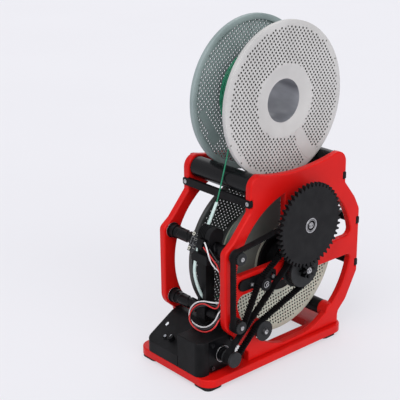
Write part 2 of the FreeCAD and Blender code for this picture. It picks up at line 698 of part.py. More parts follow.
save("arm_idler", [arm_idler.cut(rod(60, 80, arm_idler_centre, 2.05))])

# Toothed belts: a band round the wheels, with teeth on its straight runs


def belt(wheels, name):
    middles = []
    for y, z, radius, inside in wheels:
        sign = 1 if inside else -1
        middles.append((y, z, radius + 0.1 + belt_back / 2, sign, radius))
    count = len(middles)
    runs = []
    for i in range(count):
        a = middles[i]
        b = middles[(i + 1) % count]
        dy = b[0] - a[0]
        dz = b[1] - a[1]
        far = math.hypot(dy, dz)
        k = (a[3] * a[2] - b[3] * b[2]) / far
        s = math.sqrt(1 - k * k)
        ny = k * dy / far + s * dz / far
        nz = k * dz / far - s * dy / far
        runs.append((ny, nz))

    def outline(offset, toothed):
        edges = []
        for i in range(count):
            a = middles[i]
            b = middles[(i + 1) % count]
            ny, nz = runs[i]
            start = V(belt_left, a[0] + (a[3] * a[2] + offset) * ny, a[1] + (a[3] * a[2] + offset) * nz)
            end = V(belt_left, b[0] + (b[3] * b[2] + offset) * ny, b[1] + (b[3] * b[2] + offset) * nz)
            inward = V(0, -ny, -nz)
            along = end - start
            length = along.Length
            along.normalize()
            points = [start]
            if toothed:
                margins = [2.0 if w[3] < 0 else math.sqrt(2 * w[4] * 1.3) + 1.2 for w in (a, b)]
                room = length - margins[0] - margins[1]
                teeth = int(room / belt_pitch)
                first = margins[0] + (room - teeth * belt_pitch) / 2
                for j in range(teeth):
                    foot = start + along * (first + j * belt_pitch + 0.6)
                    points.append(foot)
                    points.append(foot + along * 0.25 + inward * belt_tooth)
                    points.append(foot + along * 1.55 + inward * belt_tooth)
                    points.append(foot + along * 1.8)
            points.append(end)
            for p, q in zip(points[:-1], points[1:]):
                edges.append(Part.LineSegment(p, q).toShape())
            my, mz = runs[(i + 1) % count]
            ty = ny + my
            tz = nz + mz
            size = math.hypot(ty, tz)
            if size < 0.001:
                ty, tz, size = -nz, ny, 1.0
            reach = b[3] * b[2] + offset
            bisector = (ty / size, tz / size)
            if b[3] * (ny * mz - nz * my) < 0:
                bisector = (-bisector[0], -bisector[1])
            middle = V(belt_left, b[0] + reach * bisector[0], b[1] + reach * bisector[1])
            finish = V(belt_left, b[0] + reach * my, b[1] + reach * mz)
            edges.append(Part.Arc(end, middle, finish).toShape())
        return Part.Wire(edges)

    outer = outline(belt_back / 2, False)
    inner = outline(-belt_back / 2, True)
    width = V(belt_right - belt_left, 0, 0)
    band = Part.Face(outer).extrude(width).cut(Part.Face(inner).extrude(width))
    print(name, "length on its middle", round(outline(0, False).Length, 1), "volume", round(band.Volume))
    return band


def pulley_outer(teeth):
    return teeth * belt_pitch / (2 * math.pi) - pitch_line_offset


drive_wheels = [
    (motor_y, motor_z, pulley_outer(motor_pulley_teeth), True),
    (idler_centre[0], idler_centre[1], 10.8, False),
    (take_up_centre[0], take_up_centre[1], pulley_outer(drive_pulley_teeth), True),
]
traverse_wheels = [
    (lower_screw[0], lower_screw[1], pulley_outer(traverse_pulley_teeth), True),
    (arm_idler_centre[0], arm_idler_centre[1], 7.0, False),
    (gear_centre[0], gear_centre[1], pulley_outer(gear_pulley_teeth), True),
    (upper_screw[0], upper_screw[1], pulley_outer(traverse_pulley_teeth), True),
]
save("drive_belt", [belt(drive_wheels, "drive_belt")])
save("traverse_belt", [belt(traverse_wheels, "traverse_belt")])

# Carriage on the two traverse screws, with the guide tube for the filament


def in_plane(points):
    return [V(filament_plane, y, z) for y, z in points]


tube_route = in_plane([
    (-94.9, 218), (-109.9, 190.6), (-122.3, 175.5), (-127.2, 163), (-131, 149.6), (-132.6, 138),
    (-130.9, 125.6), (-125.9, 111), (-120.9, 100.2), (-116.3, 94.6), (-109.5, 92.6),
])
guide_tube = round_tube(tube_route, guide_tube_radius, "guide_tube")
guide_tube = guide_tube.cut(round_tube(tube_route, guide_tube_bore, ""))
channel = round_tube(tube_route, guide_tube_radius + 0.3, "")
save("guide_tube", [guide_tube])

housing = plate_x([(-128, 151.5, 1.5), (-128, 172, 3), (-122, 181, 2), (-103.5, 181, 2), (-103.5, 151.5, 1.5)], 9.8, 30.5)
front_block = box(6, 34.5, -133, -124.5, 151.5, 163).cut(box(5, 9.8, -134, -120, 158.9, 164))
post = box(4, 20, -121.6, -108, 86, 158.9)
foot_block = plate_x([(-123.4, 66, 3), (-105, 66, 3), (-105, 88, 3), (-123.4, 88, 3)], 3, 19)
carriage = housing.fuse(front_block).fuse(post).fuse(foot_block).fuse(box(6, 20, -126, -121, 151.5, 158.9))
carriage = carriage.cut(rod(0, 40, upper_screw, 8.05)).cut(rod(0, 40, lower_screw, 8.05))
carriage = carriage.cut(box(8.4, 13.6, -125, -104, 90, 104))
carriage = carriage.cut(channel)
save("carriage_body", [carriage.removeSplitter()])

nose_centre = (-114.0, 182.5)
nose = rod(12.5, 30.5, nose_centre, 9.8)
for i in range(5):
    nose = nose.fuse(rod(9.9 + i * 2.6, 11.2 + i * 2.6, nose_centre, 11.5))
nose = nose.fuse(rod(9.9, 24, nose_centre, 9.8)).fuse(rod(22.9, 30.5, nose_centre, 11.5))
nose = nose.cut(box(9, 30.55, -130, -100, 165, 181.05))
nose_cap = rod(30.55, 31.6, nose_centre, 11.5).cut(rod(30, 34, upper_screw, 9.2))
nose = nose.fuse(nose_cap)
save("guide_nose", [nose.cut(channel)])

board_top = V(-5.4, -118.3, 182.2)
board_foot = V(-5.4, -130.2, 159.6)
board_way = board_foot - board_top
board_length = board_way.Length
board_tilt = math.degrees(math.atan2(-board_way.y, -board_way.z))
sensor_board = Part.makeBox(13.9, 1.6, board_length, V(0, 0, -board_length))
for x, z in ((2.9, -3.4), (2.9, -board_length + 3.4)):
    sensor_board = sensor_board.fuse(Part.makeCylinder(2.6, 0.8, V(x, 0, z), V(0, -1, 0)))
for x, z in ((9.5, -6), (7.5, -12.5), (10.5, -18.5)):
    sensor_board = sensor_board.fuse(Part.makeBox(3.0, 1.4, 3.4, V(x - 1.5, -1.4, z - 1.7)))
sensor_board.rotate(V(0, 0, 0), V(1, 0, 0), -board_tilt)
sensor_board.translate(board_top)
save("sensor_board", [sensor_board])

plug_outline = [(-122.5, 180.2, 0), (-128, 172, 0), (-128, 169, 0), (-131.4, 169, 0.6), (-131.4, 174.2, 1.2),
                (-128.2, 180.2, 0.8)]
wire_plug = plate_x(plug_outline, 14.6, 23.8).cut(housing)
save("wire_plug", [wire_plug])

# Filament from the upper spool into the guide tube, and from the tube to the lower spool

upper_run = in_plane([(-56.3, 348.5), (-85.6, 243.7), (-94.9, 218)])
save("upper_filament", [round_tube(upper_run, filament_radius, "upper_filament")])

tube_end = (-109.5, 92.6)
run_radius = take_up_layer + 2 * filament_radius + 0.3
dy = take_up_centre[0] - tube_end[0]
dz = take_up_centre[1] - tube_end[1]
distance = math.hypot(dy, dz)
run_angle = math.atan2(dz, dy) - math.asin(run_radius / distance)
run_length = math.sqrt(distance ** 2 - run_radius ** 2)
touch = (tube_end[0] + run_length * math.cos(run_angle), tube_end[1] + run_length * math.sin(run_angle))
lower_run = in_plane([tube_end, touch])
lower_way = lower_run[1] - lower_run[0]
save("lower_filament", [Part.makeCylinder(filament_radius, lower_way.Length, lower_run[0], lower_way)])
print("lower_filament length", round(lower_way.Length, 1), "angle", round(math.degrees(run_angle), 1))

# Wires from the carriage to the motor cover: down behind the right frame's leg, in a loop in front of the
# lower block, and back round the lower bush


def round_bush(x, radius, first_angle, end_y, bend_z):
    points = []
    for degrees in range(first_angle, -44, -30):
        angle = math.radians(degrees)
        points.append((x, lower_screw[0] + radius * math.cos(angle), lower_screw[1] + radius * math.sin(angle)))
    return points + [(x, end_y, bend_z), (x, end_y, 61)]


wire_routes = {
    "white_wire": [
        (24.6, -127.2, 177.5), (30.6, -130.2, 175.4), (35, -131.6, 170.2), (36.1, -130.4, 162.6),
        (36.6, -127.6, 155.1), (38.9, -123.6, 147.5), (44.3, -120.6, 143.3), (48.6, -119.2, 135.6),
        (50.2, -118.8, 126.5), (50.4, -119.4, 117.5), (50, -120.8, 109.4), (47.9, -122.6, 104),
        (43.4, -124.4, 102), (34, -125.8, 100), (20.4, -126.2, 97.3), (6, -126.2, 90.5),
        (-3.8, -126.4, 80.1), (-7.7, -126.8, 69.2), (-1.1, -129.2, 63.2), (12.8, -132, 62.5),
        (26.1, -131.6, 64), (38, -130.2, 71.4), (45.5, -128.2, 81.1), (46.9, -124.9, 90),
    ] + round_bush(46.2, 16.6, 105, -106.4, 66),
    "red_wire": [
        (24.6, -129.2, 171.8), (28.6, -129.3, 169.3), (33.6, -129.1, 166.4), (37.3, -128, 162.5),
        (39.8, -126.6, 158.1), (44.1, -125.2, 154.4), (46.2, -124.4, 149.4), (49.4, -124.2, 143),
        (50.8, -124.2, 134.5), (51, -124.6, 125.5), (51, -125, 116.5), (50.7, -126, 108),
        (49, -127, 99.6), (44.6, -127.4, 95.6), (37.6, -128.6, 95.2), (25.9, -129.2, 97),
        (12.8, -129.4, 91), (3.1, -130.2, 81.3), (-1.4, -131.8, 70.4), (3.5, -134.6, 64.8),
        (15.4, -138.4, 63.3), (27.7, -140.4, 63.6), (39.6, -140.6, 66.1), (48.4, -138.8, 71.2),
        (52.4, -134.8, 76.9), (51.7, -130, 81.9), (50.7, -126.2, 83.4),
    ] + round_bush(50.5, 12, 120, -108.6, 65.4),
    "black_wire": [
        (31.6, -126.1, 170.9), (36, -125.6, 166.4), (41, -124.2, 160.6), (46, -122.6, 154.4),
        (49.9, -121.5, 145.6), (50.7, -121.5, 136.5), (50.7, -121.8, 127), (50.7, -122.2, 117.5),
        (50.3, -123.1, 108.6), (48.8, -124.4, 101.4), (44.8, -125.6, 97.8), (35.8, -126.6, 97.3),
        (21.7, -127.4, 91.9), (9.4, -127.6, 85.6), (0.1, -128.2, 75.7), (-2.4, -130, 67.2),
        (4.4, -132.6, 62.2), (18.1, -135.4, 62.5), (32, -135.6, 64.3), (42.2, -133.8, 70.5),
        (47.8, -130.6, 78.2), (48.5, -126.3, 84.9),
    ] + round_bush(48.35, 14.3, 112, -107, 65.6),
}
for name in wire_routes:
    save(name, [round_tube([V(p[0], p[1], p[2]) for p in wire_routes[name]], wire_radius, name)])
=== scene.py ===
import math
import random

import bpy
from mathutils import Matrix, Vector
from mathutils.geometry import delaunay_2d_cdt


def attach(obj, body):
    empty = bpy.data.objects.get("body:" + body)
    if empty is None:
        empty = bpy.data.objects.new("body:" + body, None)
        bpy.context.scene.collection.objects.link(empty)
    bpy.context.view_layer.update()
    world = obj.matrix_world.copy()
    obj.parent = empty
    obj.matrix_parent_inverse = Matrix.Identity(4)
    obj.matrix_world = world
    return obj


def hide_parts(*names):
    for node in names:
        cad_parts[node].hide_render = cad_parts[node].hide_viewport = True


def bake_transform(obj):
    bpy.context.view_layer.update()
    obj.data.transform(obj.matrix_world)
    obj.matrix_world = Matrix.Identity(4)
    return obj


# Filament spool winder. The numbers below are millimetres from the floor point under the upper spool's
# middle, as in the part's source. point() turns them into metres in the frame, whose origin is the middle of
# the outline. A centre is (y, z), because the wheels, screws and spools turn round the X direction.

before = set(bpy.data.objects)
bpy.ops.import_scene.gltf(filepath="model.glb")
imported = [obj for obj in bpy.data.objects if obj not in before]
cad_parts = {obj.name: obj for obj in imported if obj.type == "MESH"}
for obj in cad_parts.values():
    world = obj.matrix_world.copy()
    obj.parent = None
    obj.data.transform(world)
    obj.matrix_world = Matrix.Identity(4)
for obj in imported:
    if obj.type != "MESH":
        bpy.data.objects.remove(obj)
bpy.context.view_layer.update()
scene = bpy.context.scene

outline_middle = (9.05, -24.65)
feed_centre = (0.0, 333.0)
take_up_centre = (-5.0, 123.6)
gear_centre = (-5.0, 185.2)
upper_screw = (-114.0, 168.0)
lower_screw = (-114.0, 77.0)
motor_centre = (-126.5, 38.3)
arm_idler_centre = (-72.5, 122.5)
drive_idler_centre = (-74.5, 59.3)
flange_inner = 26.4
flange_outer = 32.7
spool_radius = 100.0
filament_radius = 0.875
filament_plane = 11.0
wire_radius = 0.95


def point(x, y, z):
    return Vector(((x - outline_middle[0]) / 1000, (y - outline_middle[1]) / 1000, z / 1000))


def on_circle(x, centre, radius, angle):
    return point(x, centre[0] + radius * math.cos(angle), centre[1] + radius * math.sin(angle))


# Camera, fitted to the photo

camera_place = (925.37, -911.2, 674.76)
camera_turn = math.radians(49.207)
camera_height = math.radians(20.311)
camera_roll = math.radians(-0.598)
sensor_width = 36
focal_length = 95.79

back = Vector((
    math.sin(camera_turn) * math.cos(camera_height),
    -math.cos(camera_turn) * math.cos(camera_height),
    math.sin(camera_height),
))
level = Vector((math.cos(camera_turn), math.sin(camera_turn), 0))
upright = back.cross(level)
right = level * math.cos(camera_roll) + upright * math.sin(camera_roll)
up = upright * math.cos(camera_roll) - level * math.sin(camera_roll)
lens = bpy.data.cameras.new("camera")
lens.sensor_fit = "HORIZONTAL"
lens.sensor_width = sensor_width
lens.lens = focal_length
camera = bpy.data.objects.new("camera", lens)
place = point(*camera_place)
camera.matrix_world = Matrix((
    (right.x, up.x, back.x, place.x),
    (right.y, up.y, back.y, place.y),
    (right.z, up.z, back.z, place.z),
    (0, 0, 0, 1),
))
scene.collection.objects.link(camera)
scene.camera = camera
scene.view_settings.view_transform = "Standard"


# Materials


def new_material(name, colour, roughness, metallic, specular):
    material = bpy.data.materials.new(name)
    material.use_nodes = True
    shader = material.node_tree.nodes["Principled BSDF"]
    shader.inputs["Base Color"].default_value = (*colour, 1)
    shader.inputs["Roughness"].default_value = roughness
    shader.inputs["Metallic"].default_value = metallic
    shader.inputs["Specular IOR Level"].default_value = specular
    material.diffuse_color = (*colour, 1)
    return material, shader


def noise(material, scale, detail, stretch):
    nodes = material.node_tree.nodes
    links = material.node_tree.links
    place_node = nodes.new("ShaderNodeTexCoord")
    mapping = nodes.new("ShaderNodeMapping")
    mapping.inputs["Scale"].default_value = stretch
    texture = nodes.new("ShaderNodeTexNoise")
    texture.inputs["Scale"].default_value = scale
    texture.inputs["Detail"].default_value = detail
    links.new(place_node.outputs["Object"], mapping.inputs["Vector"])
    links.new(mapping.outputs["Vector"], texture.inputs["Vector"])
    return texture


def two_tones(material, shader, texture, dark, light):
    ramp = material.node_tree.nodes.new("ShaderNodeValToRGB")
    ramp.color_ramp.elements[0].position = 0.35
    ramp.color_ramp.elements[0].color = (*dark, 1)
    ramp.color_ramp.elements[1].position = 0.65
    ramp.color_ramp.elements[1].color = (*light, 1)
    material.node_tree.links.new(texture.outputs["Fac"], ramp.inputs["Fac"])
    material.node_tree.links.new(ramp.outputs["Color"], shader.inputs["Base Color"])


def rough_range(material, shader, texture, low, high):
    spread = material.node_tree.nodes.new("ShaderNodeMapRange")
    spread.inputs["To Min"].default_value = low
    spread.inputs["To Max"].default_value = high
    material.node_tree.links.new(texture.outputs["Fac"], spread.inputs["Value"])
    material.node_tree.links.new(spread.outputs["Result"], shader.inputs["Roughness"])


def bump(material, shader, texture, strength, distance):
    node = material.node_tree.nodes.new("ShaderNodeBump")
    node.inputs["Strength"].default_value = strength
    node.inputs["Distance"].default_value = distance
    material.node_tree.links.new(texture.outputs["Fac"], node.inputs["Height"])
    material.node_tree.links.new(node.outputs["Normal"], shader.inputs["Normal"])


def surface(name, dark, light, roughness, metallic=0.0, specular=0.5, patches=25, grain=1500,
            grain_strength=0.12, grain_height=0.0001, rough_spread=0.06, stretch=(1, 1, 1)):
    """A colour that drifts between two tones in patches, with a fine grain in its roughness and relief."""
    middle = [(a + b) / 2 for a, b in zip(dark, light)]
    material, shader = new_material(name, middle, roughness, metallic, specular)
    cloud = noise(material, patches, 3.0, stretch)
    two_tones(material, shader, cloud, dark, light)
    fine = noise(material, grain, 2.0, stretch)
    rough_range(material, shader, fine, roughness - rough_spread, roughness + rough_spread)
    bump(material, shader, fine, grain_strength, grain_height)
    return material


# The frame, the moulded parts, rubber and steel
red_paint = surface("red_paint", (0.58, 0.005, 0.004), (0.65, 0.007, 0.005), 0.38, specular=0.16, patches=18,
                    grain=1400, grain_strength=0.10, grain_height=0.00008)
black_moulded = surface("black_moulded", (0.003, 0.003, 0.0035), (0.007, 0.007, 0.008), 0.48, specular=0.12,
                        patches=60, grain=2600, grain_strength=0.30)
black_smooth = surface("black_smooth", (0.002, 0.002, 0.0025), (0.005, 0.005, 0.006), 0.3, specular=0.12,
                       patches=40, grain=1800, grain_height=0.00008)
roller_rubber = surface("roller_rubber", (0.002, 0.002, 0.0025), (0.006, 0.006, 0.007), 0.24, specular=0.16,
                        patches=30, grain=500, grain_strength=0.20, grain_height=0.00008, rough_spread=0.10,
                        stretch=(0.12, 1, 1))
foot_rubber = surface("foot_rubber", (0.008, 0.008, 0.008), (0.016, 0.016, 0.016), 0.75, specular=0.2,
                      patches=90, grain=3200, grain_strength=0.5)
belt_rubber = surface("belt_rubber", (0.003, 0.003, 0.0035), (0.007, 0.007, 0.008), 0.7, specular=0.1,
                      patches=150, grain=2600, grain_strength=0.35)
gear_plastic = surface("gear_plastic", (0.006, 0.006, 0.007), (0.011, 0.011, 0.012), 0.5, specular=0.14,
                       patches=70, grain=2400, grain_strength=0.35)
cap_grey = surface("cap_grey", (0.016, 0.017, 0.018), (0.026, 0.027, 0.029), 0.45, specular=0.16, patches=80,
                   grain=2200, grain_strength=0.25)
bright_steel = surface("bright_steel", (0.38, 0.38, 0.39), (0.55, 0.55, 0.56), 0.36, metallic=1.0,
                       patches=300, grain=2500, grain_strength=0.10, grain_height=0.00005)
dark_steel = surface("dark_steel", (0.05, 0.05, 0.055), (0.09, 0.09, 0.095), 0.36, metallic=1.0,
                     patches=200, grain=2500, grain_strength=0.10, grain_height=0.00005)

# The spools
spool_near = surface("spool_near", (0.51, 0.50, 0.485), (0.57, 0.56, 0.545), 0.5, specular=0.3)
# Painted shade and painted bounce light: the upper spool's far flange is coloured darker and greener than
# its near one, for the shade between the flanges and the green light off the filament.
spool_far_painted_shade = surface("spool_far_painted_shade", (0.245, 0.305, 0.30), (0.31, 0.375, 0.37), 0.5, specular=0.3)
spool_low = surface("spool_low", (0.49, 0.52, 0.43), (0.55, 0.58, 0.48), 0.5, specular=0.3)
# Painted shade: a darker olive for the sector of the lower spool's near flange that lies in shade.
spool_low_painted_shade = surface("spool_low_painted_shade", (0.082, 0.094, 0.084), (0.108, 0.120, 0.106), 0.45, specular=0.3)
# Painted shade: a dark spool colour for the shade on the lower spool's far flange and inside the far
# flanges' holes.
spool_painted_shade = surface("spool_painted_shade", (0.062, 0.066, 0.065), (0.085, 0.090, 0.088), 0.5, specular=0.25)
# Painted shade and painted reflection: the bore is coloured darker than the spool for the shade inside it,
# with lighter patches for reflections on its inside.
spool_bore_shade_and_reflection = surface("spool_bore_shade_and_reflection", (0.20, 0.205, 0.225), (0.44, 0.45, 0.48), 0.3, specular=0.4, patches=34,
                     stretch=(0.4, 1, 1))
hole_shade = surface("hole_shade", (0.13, 0.125, 0.118), (0.19, 0.183, 0.172), 0.6, specular=0.2, patches=40)
green_filament = surface("green_filament", (0.008, 0.19, 0.095), (0.016, 0.25, 0.130), 0.32, specular=0.4,
                         patches=120, grain=2500, grain_height=0.00005)
# Painted shade: the filament turns under the outer layer are coloured much darker than the filament, for the
# shade between and beneath the turns.
green_painted_shade = surface("green_painted_shade", (0.004, 0.045, 0.028), (0.008, 0.075, 0.045), 0.4, specular=0.3,
                     patches=90, grain=2000, grain_strength=0.2)

# Boards, controls and wires
circuit_green = surface("circuit_green", (0.010, 0.045, 0.030), (0.018, 0.070, 0.045), 0.35, patches=400,
                        grain=3000, grain_strength=0.2)
circuit_dark = surface("circuit_dark", (0.010, 0.011, 0.012), (0.020, 0.021, 0.024), 0.35, specular=0.35,
                       patches=500, grain=3000, grain_strength=0.25)
board_print = surface("board_print", (0.30, 0.30, 0.31), (0.42, 0.42, 0.43), 0.5, patches=600, grain=3000,
                      grain_strength=0.2, grain_height=0.00005)
solder = surface("solder", (0.62, 0.61, 0.52), (0.78, 0.77, 0.68), 0.3, metallic=0.9, patches=600,
                 grain=3000, grain_strength=0.2, grain_height=0.00005)
window_white = surface("window_white", (0.72, 0.76, 0.80), (0.84, 0.86, 0.88), 0.3, patches=500, grain=3000,
                       grain_strength=0.1, grain_height=0.00005)
button_grey = surface("button_grey", (0.20, 0.21, 0.23), (0.30, 0.31, 0.34), 0.35, patches=500, grain=3000,
                      grain_strength=0.1, grain_height=0.00005)
tube_white = surface("tube_white", (0.54, 0.70, 0.66), (0.66, 0.80, 0.76), 0.28, patches=200, grain=2500,
                     grain_strength=0.1, grain_height=0.00005)
wire_grain = {"patches": 300, "grain": 3000, "grain_strength": 0.15, "grain_height": 0.00005}
wire_materials = {
    "white_wire": surface("wire_white", (0.72, 0.72, 0.73), (0.84, 0.84, 0.85), 0.4, **wire_grain),
    "red_wire": surface("wire_red", (0.50, 0.012, 0.012), (0.62, 0.018, 0.018), 0.4, **wire_grain),
    "black_wire": surface("wire_black", (0.010, 0.010, 0.011), (0.018, 0.018, 0.020), 0.4, **wire_grain),
}

node_materials = {
    red_paint: ["base_plate", "left_side_frame", "right_side_frame"],
    black_moulded: ["front_tie_bar", "rear_tie_bars", "rear_spacer", "controller_case", "motor_cover",
                    "carriage_body", "guide_nose", "traverse_bushes", "tension_arm", "speed_knob",
                    "wire_plug", "clamp_hubs"],
    black_smooth: ["motor_body", "motor_coupling", "drive_pinion", "wind_button", "arm_idler"],
    roller_rubber: ["front_roller", "rear_roller"],
    foot_rubber: ["rubber_feet"],
    bright_steel: ["frame_screws", "stub_axles", "upper_pulley_screw", "lower_pulley_screw", "axle_bearings",
                   "take_up_axle"],
    dark_steel: ["roller_axles", "motor_pilot_ring", "motor_screws", "gear_bearing"],
    belt_rubber: ["drive_belt", "traverse_belt"],
    spool_bore_shade_and_reflection: ["feed_spool_core"],
    spool_low: ["take_up_core"],
    gear_plastic: ["big_gear", "gear_pulley"],
    cap_grey: ["motor_pulley", "drive_pulley", "drive_idler", "upper_traverse_pulley",
               "lower_traverse_pulley"],
    circuit_green: ["controller_board"],
    circuit_dark: ["sensor_board"],
    window_white: ["light_window"],
    tube_white: ["guide_tube"],
}
for material, names in node_materials.items():
    for name in names:
        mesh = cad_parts[name].data
        mesh.materials.clear()
        mesh.materials.append(material)


# Mesh helpers. A shape is a pair: its vertices in metres, and its faces.


def add_piece(name, shape, material, body, replaced=(), sharp_angle=35):
    vertices, faces = shape
    mesh = bpy.data.meshes.new(name)
    mesh.from_pydata(vertices, [], faces)
    mesh.validate()
    mesh.update()
    mesh.materials.append(material)
    piece = bpy.data.objects.new(name, mesh)
    scene.collection.objects.link(piece)
    for face in mesh.polygons:
        face.use_smooth = True
    mesh.set_sharp_from_angle(angle=math.radians(sharp_angle))
    if body:
        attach(piece, body)
    if replaced:
        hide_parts(*replaced)
    return piece


def joined(shapes):
    vertices = []
    faces = []
    for some_vertices, some_faces in shapes:
        first = len(vertices)
        vertices += some_vertices
        faces += [tuple(i + first for i in face) for face in some_faces]
    return vertices, faces


def turned_over(shape):
    """The same shape with its faces looking the other way."""
    vertices, faces = shape
    return vertices, [tuple(reversed(face)) for face in faces]


def tube(line, radius, sides):
    """A closed tube along a line of points in metres."""
    vertices = []
    faces = []
    side = None
    count = len(line)
    for i, middle in enumerate(line):
        ahead = line[min(i + 1, count - 1)] - line[max(i - 1, 0)]
        ahead.normalize()
        if side is None:
            start = Vector((0, 0, 1)) if abs(ahead.z) < 0.9 else Vector((1, 0, 0))
            side = ahead.cross(start).normalized()
        side = (side - ahead * side.dot(ahead)).normalized()
        across = ahead.cross(side)
        for k in range(sides):
            angle = 2 * math.pi * k / sides
            vertices.append(middle + (side * math.cos(angle) + across * math.sin(angle)) * radius)
    for i in range(count - 1):
        for k in range(sides):
            a = i * sides + k
            b = i * sides + (k + 1) % sides
            faces.append((a, b, b + sides, a + sides))
    faces.append(tuple(reversed(range(sides))))
    faces.append(tuple(range((count - 1) * sides, count * sides)))
    return vertices, faces


def turned(profile, centre, steps, closed=True):
    """A ring round the X direction. The profile is a list of (x, radius); closed joins its two ends."""
    vertices = []
    faces = []
    rows = len(profile)
    for k in range(steps):
        angle = 2 * math.pi * k / steps
        for x, radius in profile:
            vertices.append(on_circle(x, centre, radius, angle))
    span = rows if closed else rows - 1
    for k in range(steps):
        following = (k + 1) % steps
        for i in range(span):
            j = (i + 1) % rows
            faces.append((k * rows + i, k * rows + j, following * rows + j, following * rows + i))
    return vertices, faces


def round_part(place, axis, profile, steps):
    """A turned shape. The profile is a list of (height, radius): radius 0 closes an end, and a last point
    that repeats the first one closes it all."""
    axis = Vector(axis).normalized()
    side = axis.orthogonal().normalized()
    across = axis.cross(side)
    vertices = []
    rows = []
    for height, radius in profile:
        if rows and (height, radius) == profile[0]:
            rows.append(rows[0])
            continue
        row = []
        for k in range(1 if radius == 0 else steps):
            angle = 2 * math.pi * k / steps
            outwards = side * math.cos(angle) + across * math.sin(angle)
            row.append(len(vertices))
            vertices.append(point(*(Vector(place) + axis * height + outwards * radius)))
        rows.append(row * steps if radius == 0 else row)
    faces = []
    for low, high in zip(rows[:-1], rows[1:]):
        for k in range(steps):
            following = (k + 1) % steps
            corners = []
            for i in (low[k], low[following], high[following], high[k]):
                if i not in corners:
                    corners.append(i)
            faces.append(tuple(corners))
    return vertices, faces


def side_part(x, centre, profile, steps):
    """A turned shape that stands out to the right from x."""
    return round_part((x, *centre), (1, 0, 0), profile, steps)


def raised_block(corner, across, along, width, length, height, edge):
    """A small block with bevelled upper edges on a face that across and along span, seen from outside."""
    out = across.cross(along)
    vertices = []
    for inset, rise in ((0, 0), (0, height - edge), (edge, height)):
        far_a = width - inset
        far_b = length - inset
        for a, b in ((inset, inset), (far_a, inset), (far_a, far_b), (inset, far_b)):
            vertices.append(point(*(corner + across * a + along * b + out * rise)))
    faces = [(3, 2, 1, 0), (8, 9, 10, 11)]
    for row in (0, 4):
        for k in range(4):
            following = (k + 1) % 4
            faces.append((row + k, row + following, row + 4 + following, row + 4 + k))
    return vertices, faces


def smooth_line(name, route):
    """The points along the smooth curve that has the route as its control points."""
    curve = bpy.data.curves.new(name, "CURVE")
    curve.dimensions = "3D"
    curve.resolution_u = 12
    spline = curve.splines.new("NURBS")
    spline.points.add(len(route) - 1)
    for i, place in enumerate(route):
        spline.points[i].co = (place.x, place.y, place.z, 1)
    spline.order_u = 3
    spline.use_endpoint_u = True
    helper = bpy.data.objects.new(name, curve)
    scene.collection.objects.link(helper)
    mesh = bpy.data.meshes.new_from_object(helper)
    line = [v.co.copy() for v in mesh.vertices]
    bpy.data.objects.remove(helper)
    bpy.data.curves.remove(curve)
    bpy.data.meshes.remove(mesh)
    return line


# Cords: three wires from the carriage to the motor cover, and the filament's two free runs

wire_end_height = 61


def round_bush(x, radius, first_angle, end_y, bend_z):
    """The hidden end of a wire: round the lower bush and down into the motor cover."""
    points = []
    for degrees in range(first_angle, -44, -30):
        y = lower_screw[0] + radius * math.cos(math.radians(degrees))
        z = lower_screw[1] + radius * math.sin(math.radians(degrees))
        points.append((x, y, z))
    return points + [(x, end_y, bend_z), (x, end_y, wire_end_height)]


wire_routes = {
    "white_wire": [
        (24.6, -127.2, 177.5), (30.6, -130.2, 175.4), (35, -131.6, 170.2), (36.1, -130.4, 162.6),
        (36.6, -127.6, 155.1), (38.9, -123.6, 147.5), (44.3, -120.6, 143.3), (48.6, -119.2, 135.6),
        (50.2, -118.8, 126.5), (50.4, -119.4, 117.5), (50, -120.8, 109.4), (47.9, -122.6, 104),
        (43.4, -124.4, 102), (34, -125.8, 100), (20.4, -126.2, 97.3), (6, -126.2, 90.5),
        (-3.8, -126.4, 80.1), (-7.7, -126.8, 69.2), (-1.1, -129.2, 63.2), (12.8, -132, 62.5),
        (26.1, -131.6, 64), (38, -130.2, 71.4), (45.5, -128.2, 81.1), (46.9, -124.9, 90),
    ] + round_bush(46.2, 16.6, 105, -106.4, 66),
    "red_wire": [
        (24.6, -129.2, 171.8), (28.6, -129.3, 169.3), (33.6, -129.1, 166.4), (37.3, -128, 162.5),
        (39.8, -126.6, 158.1), (44.1, -125.2, 154.4), (46.2, -124.4, 149.4), (49.4, -124.2, 143),
        (50.8, -124.2, 134.5), (51, -124.6, 125.5), (51, -125, 116.5), (50.7, -126, 108),
        (49, -127, 99.6), (44.6, -127.4, 95.6), (37.6, -128.6, 95.2), (25.9, -129.2, 97),
        (12.8, -129.4, 91), (3.1, -130.2, 81.3), (-1.4, -131.8, 70.4), (3.5, -134.6, 64.8),
        (15.4, -138.4, 63.3), (27.7, -140.4, 63.6), (39.6, -140.6, 66.1), (48.4, -138.8, 71.2),
        (52.4, -134.8, 76.9), (51.7, -130, 81.9), (50.7, -126.2, 83.4),
    ] + round_bush(50.5, 12, 120, -108.6, 65.4),
    "black_wire": [
        (31.6, -126.1, 170.9), (36, -125.6, 166.4), (41, -124.2, 160.6), (46, -122.6, 154.4),
        (49.9, -121.5, 145.6), (50.7, -121.5, 136.5), (50.7, -121.8, 127), (50.7, -122.2, 117.5),
        (50.3, -123.1, 108.6), (48.8, -124.4, 101.4), (44.8, -125.6, 97.8), (35.8, -126.6, 97.3),
        (21.7, -127.4, 91.9), (9.4, -127.6, 85.6), (0.1, -128.2, 75.7), (-2.4, -130, 67.2),
        (4.4, -132.6, 62.2), (18.1, -135.4, 62.5), (32, -135.6, 64.3), (42.2, -133.8, 70.5),
        (47.8, -130.6, 78.2), (48.5, -126.3, 84.9),
    ] + round_bush(48.35, 14.3, 112, -107, 65.6),
}
for name, route in wire_routes.items():
    line = smooth_line(name + "_line", [point(*p) for p in route])
    wire = add_piece(name + "_run", tube(line, wire_radius / 1000, 10), wire_materials[name], None,
                     (name,))
    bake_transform(wire)

